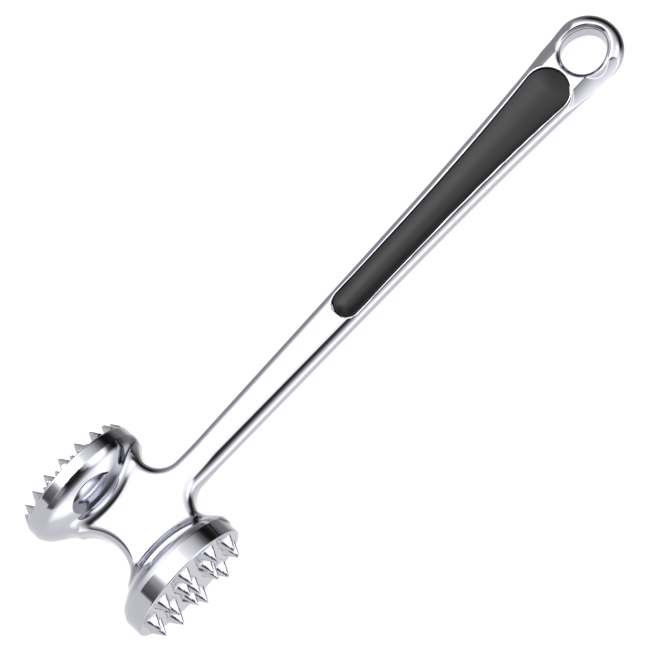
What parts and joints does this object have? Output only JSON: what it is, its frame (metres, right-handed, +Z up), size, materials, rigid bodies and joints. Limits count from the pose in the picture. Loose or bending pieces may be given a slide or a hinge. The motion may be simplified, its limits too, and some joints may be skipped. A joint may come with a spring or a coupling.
{
  "type": "meat mallet",
  "caption": "Cast two-faced meat mallet with a coarse and a fine spiked disc, a slim shank, soft grip inlays and a hanging eye.",
  "frame": {"origin": "middle of the bounding box at the surface the mallet lies on", "axes": "+X from the head to the hanging eye, +Y towards the fine face, +Z up out of the mallet's front as it lies on its back"},
  "size_m": [0.2988, 0.071, 0.0536],
  "materials": {
    "polished_chrome": "bright chrome plate on a polished zinc casting",
    "soft_grip": "satin black soft-touch moulding",
    "hard_plastic": "plain moulded black"
  },
  "bodies": {
    "root": {"mallet_casting": "polished_chrome", "front_grip_skin": "soft_grip", "rear_grip_skin": "soft_grip", "front_grip_carrier": "hard_plastic", "rear_grip_carrier": "hard_plastic"}
  },
  "joints": []
}
